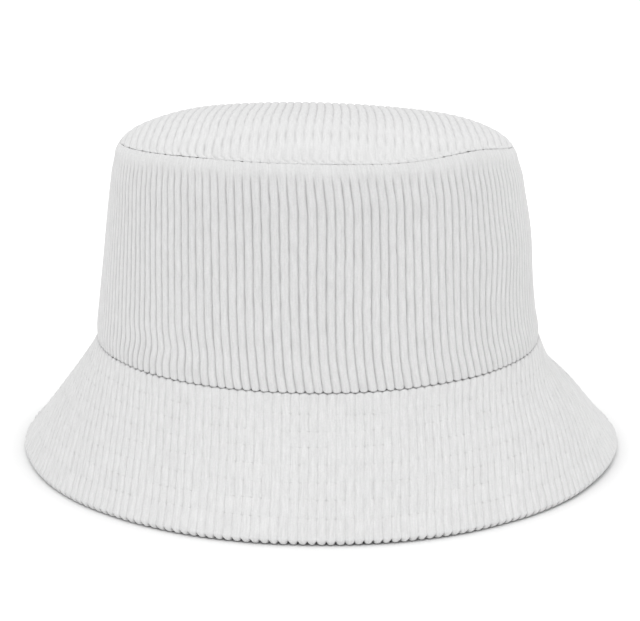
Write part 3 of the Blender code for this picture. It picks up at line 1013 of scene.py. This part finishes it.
# The rings of stitches at the hat's seams: radius and height, facing outwards and upwards, share of the usual
# pitch, gap between two stitches as a share of the pitch, and mm of lift, sink and thread
SEAM_RINGS = {
    "top_seam": ((TIP_RADIUS - 1.0 * MM, TIP_BASE - 1.02 * MM), (0.9, 0.44), 1.0, 0.08, 0.0, 0.10, 0.06),
    "brim_seam": ((FOOT_FOLD_CENTRE[0] + 0.9 * MM, FOOT_HEIGHT - 0.14 * MM), (0.9, -0.44), 1.0, 0.08, 0.0,
                  0.10, 0.10),
    "brim_edge": ((BRIM_RADIUS - 3.0 * MM, 1.05 * MM), (-0.3, -0.95), 0.8, 0.08, 0.0, 0.30, 0.12),
    "lining_seam": ((LINING_TIP_RADIUS - 0.35 * MM, LINING_TIP_LOW - 0.5 * MM), (-1.0, 0.0), 1.0, 0.08, 0.05,
                    0.20, 0.13),
    "sweatband": ((SWEATBAND_RADIUS - 0.83 * MM, SWEATBAND_LOW + 3.0 * MM), (-1.0, 0.0), 1.0, 0.10, 0.12,
                  0.25, 0.17),
}


def make_seam_rings():
    for seam, (at, facing, share, gap, lift, sink, thread) in SEAM_RINGS.items():
        pitch = share * 2.0 * math.pi / 200
        angles = np.arange(round(2.0 * math.pi / pitch)) * pitch
        starts, ends = (settle(turned(*at, angles + shift * pitch)) for shift in (gap, 1.0 - gap))
        normals = turned(*facing, angles + 0.5 * pitch)
        piece = stitch_mesh(f"{seam}_stitches", starts, ends, normals, lift * MM, sink * MM, thread * MM)
        place(piece, f"{seam}_thread", thread_material)


def stitched_line(name, node, places, facing, reach, thread):
    """One straight run of stitches through places, which rise and sink by reach."""
    normals = np.tile(facing, (len(places) - 1, 1))
    piece = stitch_mesh(name, places[:-1], places[1:], normals, reach, reach, thread)
    place(piece, node, thread_material)


def make_seam_lines():
    """The stitches of the two side seams and of the label."""
    for side, sign in (("left", -1.0), ("right", 1.0)):
        heights = np.arange(84.0, 116.0, 2.8) * MM
        radius = SHOULDER_RADIUS + (SHOULDER_HEIGHT - heights) * math.tan(WALL_TILT) - CLOTH - 0.35 * MM
        places = settle(np.stack([sign * radius, 0.0 * radius, heights], -1))
        stitched_line(f"side_seam_stitches_{side}", f"side_seam_thread_{side}", places, [-sign, 0.0, 0.0],
                      0.10 * MM, 0.13 * MM)
    across = np.linspace(LABEL_THREAD_LOW.x, LABEL_THREAD_HIGH.x, 10)
    level = (LABEL_THREAD_LOW.z + LABEL_THREAD_HIGH.z) / 2
    depth = (LABEL_THREAD_LOW.y + LABEL_THREAD_HIGH.y) / 2
    places = np.stack([across, 0.0 * across + depth, 0.0 * across + level], -1)
    stitched_line("label_stitches", "label_thread", places, [0.0, -1.0, 0.0], 0.15 * MM, 0.15 * MM)


# ---------------------------------------------------------------- materials

class Nodes:
    """Short hand for building the node tree of a material or a world."""

    def __init__(self, owner, shader="Principled BSDF"):
        owner.use_nodes = True
        self.owner = owner
        self.tree = owner.node_tree
        self.shader = self.tree.nodes[shader]

    def add(self, kind, inputs=None, **settings):
        node = self.tree.nodes.new(kind)
        for key, value in settings.items():
            setattr(node, key, value)
        self.feed(node, inputs or {})
        return node

    def feed(self, node, inputs):
        """Sets or links each named input of a node."""
        for key, value in inputs.items():
            if isinstance(value, bpy.types.NodeSocket):
                self.tree.links.new(value, node.inputs[key])
            else:
                node.inputs[key].default_value = value

    def finish(self, inputs):
        """Feeds the shader and gives the finished material or world."""
        self.feed(self.shader, inputs)
        return self.owner

    def noise(self, scale, detail=3.0, roughness=0.6, place_of=None):
        if place_of is None:
            place_of = self.add("ShaderNodeTexCoord").outputs["Object"]
        node = self.add("ShaderNodeTexNoise", {"Vector": place_of, "Scale": scale, "Detail": detail,
                                               "Roughness": roughness})
        return node.outputs["Fac"]

    def ramp(self, value, low, high, to_low, to_high):
        node = self.add("ShaderNodeMapRange", {"Value": value, "From Min": low, "From Max": high,
                                               "To Min": to_low, "To Max": to_high})
        return node.outputs["Result"]

    def math(self, operation, first, second):
        node = self.add("ShaderNodeMath", {0: first, 1: second}, operation=operation)
        return node.outputs[0]

    def tint(self, colour, factor):
        """A colour made lighter or darker by a factor socket."""
        node = self.add("ShaderNodeVectorMath", {0: colour, 1: factor}, operation="MULTIPLY")
        return node.outputs["Vector"]

    def bumped(self, height, strength, distance):
        node = self.add("ShaderNodeBump", {"Height": height, "Strength": strength, "Distance": distance})
        return node.outputs["Normal"]


def corduroy_material(name, streak_low, streak_high):
    """Soft cotton pile: fine tufts, streaks along the wales, and painted shade at the bottom of the grooves.
    """
    n = Nodes(bpy.data.materials.new(name))
    groove = n.add("ShaderNodeAttribute", attribute_name="groove").outputs["Fac"]
    tufts = n.noise(1500.0, 4.0, 0.7)
    cloth_place = n.add("ShaderNodeAttribute", attribute_name="cloth").outputs["Vector"]
    combed = n.add("ShaderNodeVectorMath", {0: cloth_place, 1: (1.0, 0.11, 1.0)}, operation="MULTIPLY")
    streaks = n.noise(1300.0, 3.0, 0.6, combed.outputs["Vector"])
    patches = n.noise(60.0, 3.0, 0.6, combed.outputs["Vector"])
    shade = n.math("MULTIPLY", n.ramp(tufts, 0.3, 0.7, 0.95, 1.04), n.ramp(patches, 0.35, 0.65, 0.985, 1.012))
    shade = n.math("MULTIPLY", shade, n.ramp(streaks, 0.3, 0.7, streak_low, streak_high))
    # painted shade: the deeper a place lies in a groove, the darker its colour
    shade = n.math("MULTIPLY", shade, n.ramp(groove, 0.25, 1.75, 1.0, GROOVE_SHADE))
    return n.finish({"Base Color": n.tint(CORDUROY_COLOUR, shade), "Roughness": 0.95,
                     "Specular IOR Level": 0.12, "Sheen Weight": 0.25, "Sheen Roughness": 0.6,
                     "Normal": n.bumped(tufts, 0.55, 0.35 * MM)})


def woven_material(name, colour, pitch, strength, gloss=0.0):
    """Plain woven cloth: two crossing sets of yarns as fine waves."""
    n = Nodes(bpy.data.materials.new(name))
    place_of = n.add("ShaderNodeTexCoord").outputs["Object"]
    waves = []
    for axis in ("Z", "X"):
        wave = n.add("ShaderNodeTexWave", {"Vector": place_of, "Scale": 0.314 / pitch, "Distortion": 0.6,
                                           "Detail": 1.0, "Detail Scale": 2.0}, bands_direction=axis)
        waves.append(wave.outputs["Fac"])
    weave = n.math("MULTIPLY", waves[0], waves[1])
    slubs = n.noise(260.0, 3.0)
    shade = n.math("MULTIPLY", n.ramp(weave, 0.0, 1.0, 0.93, 1.03), n.ramp(slubs, 0.3, 0.7, 0.96, 1.03))
    return n.finish({"Base Color": n.tint(colour, shade), "Roughness": 0.85 - 0.45 * gloss,
                     "Specular IOR Level": 0.2 + 0.3 * gloss, "Sheen Weight": 0.15,
                     "Normal": n.bumped(weave, strength, 0.15 * MM)})


def thread_looks():
    """Spun thread: a fine twist and a slight gloss."""
    n = Nodes(bpy.data.materials.new("sewing_thread"))
    twist = n.noise(5200.0, 2.0)
    return n.finish({"Base Color": n.tint((0.66, 0.66, 0.66), n.ramp(twist, 0.3, 0.7, 0.92, 1.04)),
                     "Roughness": 0.7, "Specular IOR Level": 0.3, "Normal": n.bumped(twist, 0.4, 0.05 * MM)})


def floor_material():
    """White studio paper that takes a soft contact shadow, and glows with painted light: none by the brim,
    more further out.
    """
    n = Nodes(bpy.data.materials.new("studio_paper"))
    place_of = n.add("ShaderNodeTexCoord").outputs["Object"]
    far = n.add("ShaderNodeVectorMath", {0: place_of}, operation="LENGTH").outputs["Value"]
    # painted light: the floor's glow, none at the brim's edge and rising outwards
    near_glow = n.ramp(far, SHADOW_START, SHADOW_END, 0.0, NEAR_GLOW)
    far_glow = n.ramp(far, SHADOW_END, FAR_GLOW_END, 0.0, FAR_GLOW)
    return n.finish({"Base Color": FLOOR_COLOUR, "Emission Color": (1.0, 1.0, 1.0, 1.0), "Roughness": 0.9,
                     "Emission Strength": n.math("ADD", near_glow, far_glow), "Specular IOR Level": 0.0})


# ---------------------------------------------------------------- studio

def make_camera():
    camera = bpy.data.objects.new("camera", bpy.data.cameras.new("camera"))
    camera.data.lens = CAMERA_LENS
    camera.data.sensor_width = 36.0
    camera.data.sensor_fit = "HORIZONTAL"
    camera.data.clip_start = 0.01
    camera.location = CAMERA_PLACE
    camera.rotation_euler = (math.radians(90.0 - CAMERA_PITCH_DEG), 0.0, 0.0)
    bpy.context.scene.collection.objects.link(camera)
    bpy.context.scene.camera = camera


def studio_world():
    """A studio that is brightest overhead, dimmer at eye level and dark below the table."""
    n = Nodes(bpy.data.worlds.new("studio_room"), "Background")
    direction = n.add("ShaderNodeTexCoord").outputs["Generated"]
    upwards = n.add("ShaderNodeSeparateXYZ", {0: direction}).outputs["Z"]
    levels = n.add("ShaderNodeValToRGB", {"Fac": n.ramp(upwards, -1.0, 1.0, 0.0, 1.0)})
    levels.color_ramp.elements.new(0.5)
    for element, level in zip(levels.color_ramp.elements, WORLD_LEVELS):
        element.color = (level, level, level, 1.0)
    return n.finish({"Color": levels.outputs["Color"]})


def make_key_light():
    light = bpy.data.lights.new("key", "AREA")
    light.shape = "DISK"
    light.size = KEY_SIZE
    light.energy = KEY_POWER
    lamp = bpy.data.objects.new("key", light)
    lamp.location = KEY_PLACE
    x, y, z = np.array(KEY_AIM) - np.array(KEY_PLACE)
    lamp.rotation_euler = (math.atan2(math.hypot(x, y), -z), 0.0, math.atan2(x, -y) + math.pi)
    bpy.context.scene.collection.objects.link(lamp)


def make_studio():
    scene = bpy.context.scene
    scene.view_settings.view_transform = "Standard"
    scene.world = studio_world()
    make_key_light()
    floor = make_mesh("floor", np.array(FLOOR_CORNERS), [[0, 1, 2, 3]])
    floor.data.materials.append(floor_material())
    floor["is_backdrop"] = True


make_camera()
make_studio()
corduroy = corduroy_material("corduroy_pile", 0.935, 1.065)
# The brim's cloth has stronger streaks, which also make it a little darker on average: painted shade
shaded_flat_corduroy = corduroy_material("pressed_corduroy_pile_painted_darker", 0.90, 1.045)
lining = woven_material("lining_cotton", (0.80, 0.79, 0.765), 0.35 * MM, 0.35)
sweatband = woven_material("sweatband_twill", (0.78, 0.77, 0.745), 0.6 * MM, 0.6)
interlining = woven_material("buckram", (0.86, 0.85, 0.82), 0.9 * MM, 0.6)
label_satin = woven_material("label_satin", (0.88, 0.88, 0.87), 0.25 * MM, 0.15, gloss=0.6)
thread_material = thread_looks()
make_interlining()
make_upper_brim()
make_under_brim()
make_band()
make_tip()
make_lining()
make_sweatband()
make_label()
make_topstitching()
make_seam_rings()
make_seam_lines()

bpy.context.view_layer.update()
boxes = {"cad": cad_box, "visual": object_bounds()}
{key: [list(corner) for corner in box] for key, box in boxes.items()}
